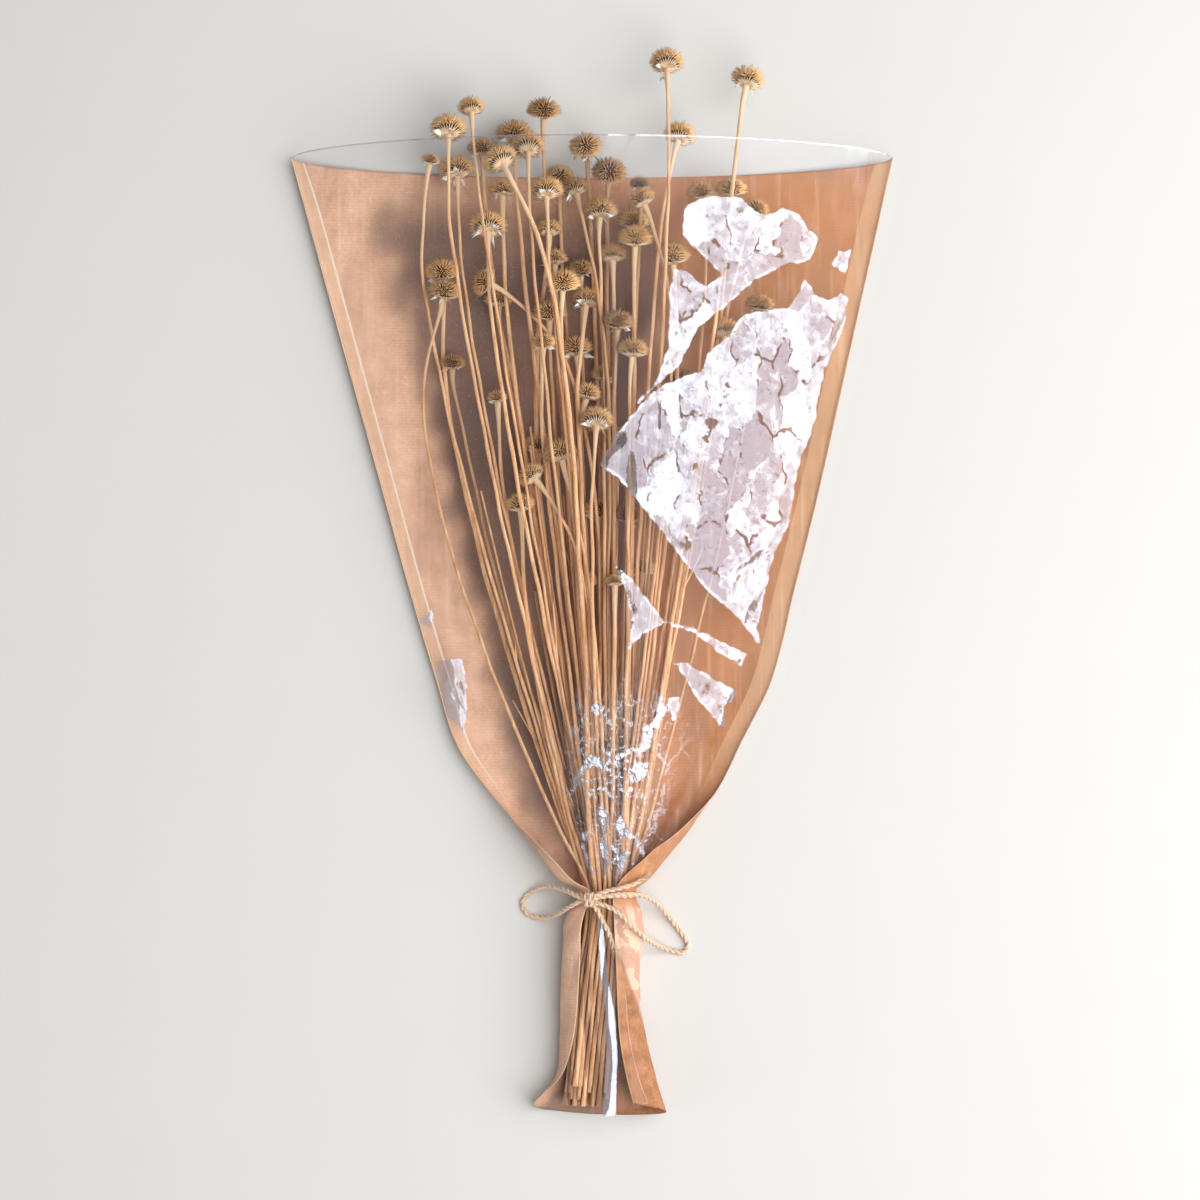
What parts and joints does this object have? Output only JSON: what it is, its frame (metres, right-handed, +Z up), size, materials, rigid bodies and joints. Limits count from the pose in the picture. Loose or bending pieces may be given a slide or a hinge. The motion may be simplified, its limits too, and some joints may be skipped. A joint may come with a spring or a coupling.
{
  "type": "tied bunch of dried daisies in a paper and film sleeve",
  "caption": "Bunch of dried, petal-less daisies on long bare stems, lying in a tapered kraft paper and clear film sleeve, gathered at the neck and tied with a jute twine bow.",
  "frame": {"origin": "bottom centre of the bunch's box as it lies on a table, without the twine", "axes": "+Y from the cut stem ends to the flower heads, +Z up through the clear film, +X to the right seen from above"},
  "size_m": [0.3612, 0.6362, 0.058],
  "materials": {
    "kraft_paper": "matte brown kraft with fine ribs",
    "clear_film": "clear glossy crinkled film",
    "dried_daisy": "matte dry plant, straw to dark brown",
    "jute_twine": "two-ply natural jute, fuzzy"
  },
  "bodies": {
    "root": {"kraft_paper_back": "kraft_paper", "clear_film_front": "clear_film", "daisy_01": "dried_daisy", "daisy_02": "dried_daisy", "daisy_03": "dried_daisy", "daisy_04": "dried_daisy", "daisy_05": "dried_daisy", "daisy_06": "dried_daisy", "daisy_07": "dried_daisy", "daisy_08": "dried_daisy", "daisy_09": "dried_daisy", "daisy_10": "dried_daisy", "daisy_11": "dried_daisy", "daisy_12": "dried_daisy", "daisy_13": "dried_daisy", "daisy_14": "dried_daisy", "daisy_15": "dried_daisy", "daisy_16": "dried_daisy", "daisy_17": "dried_daisy", "daisy_18": "dried_daisy", "daisy_19": "dried_daisy", "daisy_20": "dried_daisy", "daisy_21": "dried_daisy", "daisy_22": "dried_daisy", "daisy_23": "dried_daisy", "daisy_24": "dried_daisy", "daisy_25": "dried_daisy", "daisy_26": "dried_daisy", "daisy_27": "dried_daisy", "daisy_28": "dried_daisy", "daisy_29": "dried_daisy", "daisy_30": "dried_daisy", "daisy_31": "dried_daisy", "daisy_32": "dried_daisy", "daisy_33": "dried_daisy", "daisy_34": "dried_daisy", "daisy_35": "dried_daisy", "daisy_36": "dried_daisy", "daisy_37": "dried_daisy", "daisy_38": "dried_daisy", "daisy_39": "dried_daisy", "daisy_40": "dried_daisy", "daisy_41": "dried_daisy", "daisy_42": "dried_daisy", "daisy_43": "dried_daisy", "daisy_44": "dried_daisy", "daisy_45": "dried_daisy", "daisy_46": "dried_daisy", "daisy_47": "dried_daisy", "daisy_48": "dried_daisy", "daisy_49": "dried_daisy", "daisy_50": "dried_daisy", "daisy_51": "dried_daisy", "daisy_52": "dried_daisy", "daisy_53": "dried_daisy", "daisy_54": "dried_daisy", "daisy_55": "dried_daisy", "daisy_56": "dried_daisy", "daisy_57": "dried_daisy", "jute_twine": "jute_twine"}
  },
  "joints": []
}
